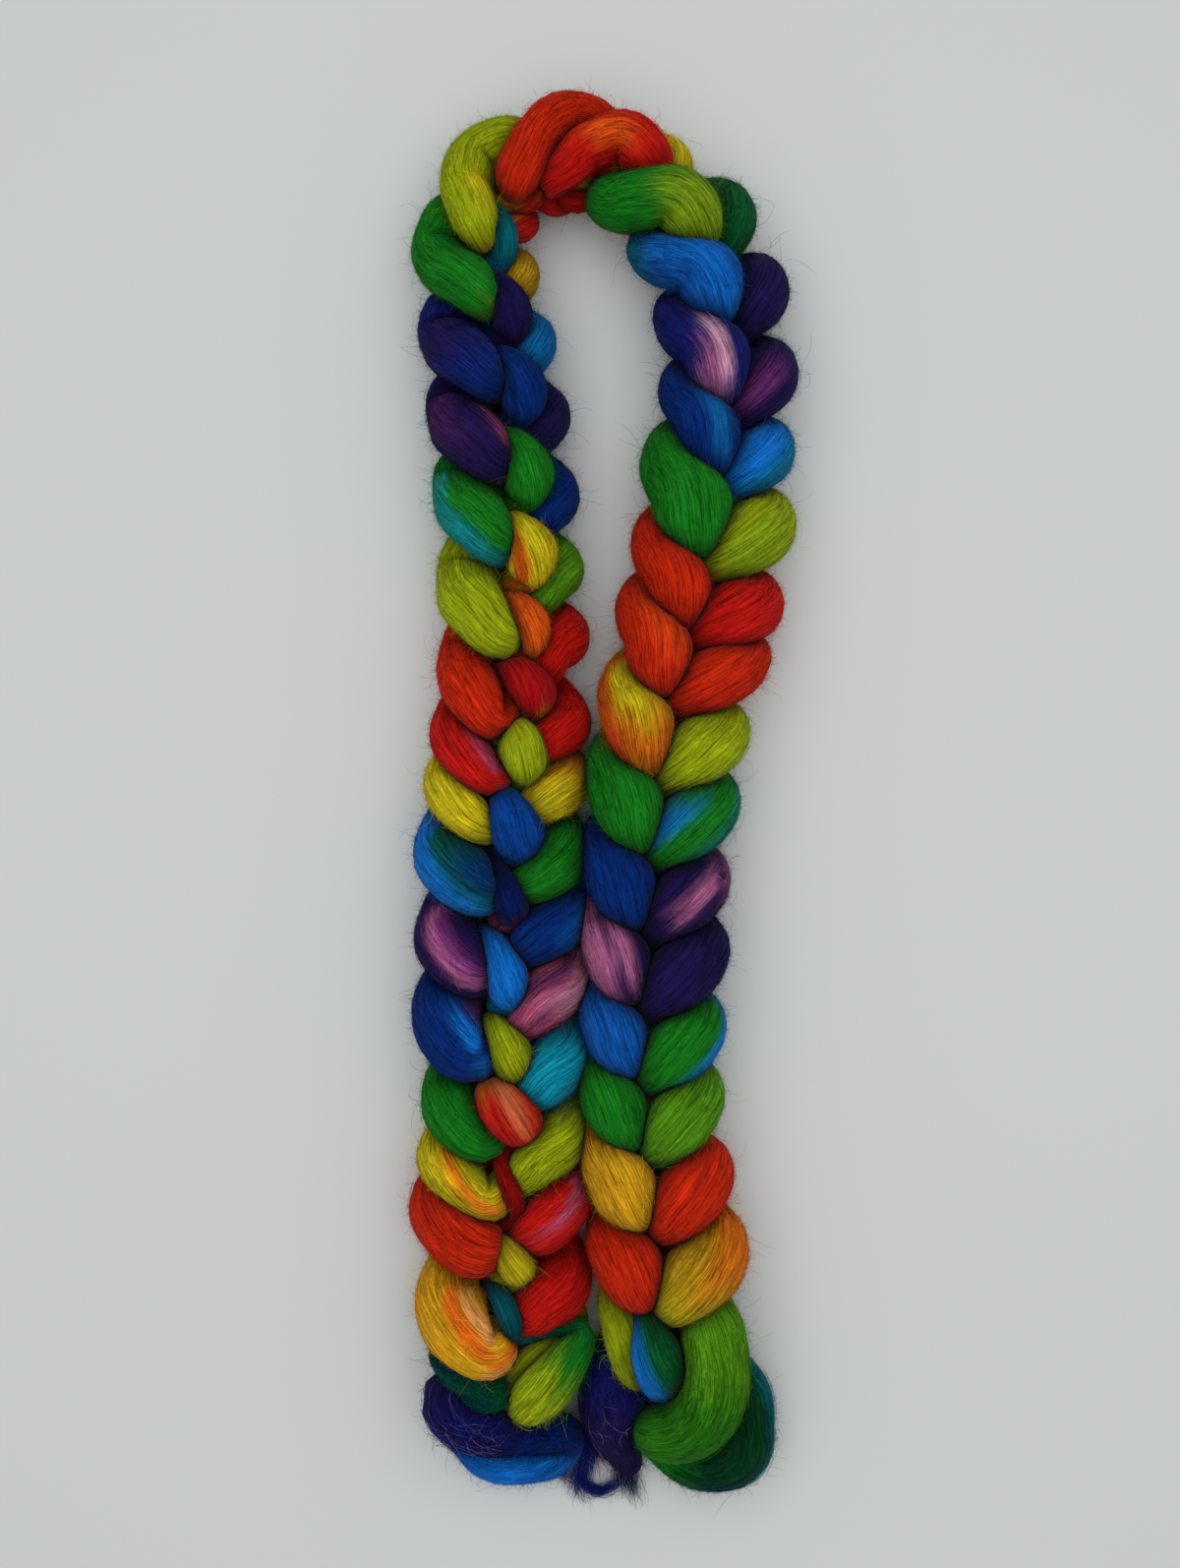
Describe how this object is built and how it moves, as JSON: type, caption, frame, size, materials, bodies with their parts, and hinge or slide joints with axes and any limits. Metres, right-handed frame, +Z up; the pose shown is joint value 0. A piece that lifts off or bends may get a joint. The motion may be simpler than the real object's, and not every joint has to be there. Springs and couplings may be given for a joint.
{
  "type": "braid of wool roving",
  "caption": "One length of dyed combed wool top looped into a fat chain and laid doubled in an inverted U, with one frayed loose end.",
  "frame": {"origin": "on the table under the middle of the braid's bounding box", "axes": "+Y along the two arms toward the arch, +X across them toward the arm with the first stitch, +Z up from the table"},
  "size_m": [0.1664, 0.6028, 0.0549],
  "materials": {
    "dyed_wool": "matte, fibrous, dyed in a rainbow that changes along the roving"
  },
  "bodies": {
    "root": {"roving_braid": "dyed_wool"}
  },
  "joints": []
}
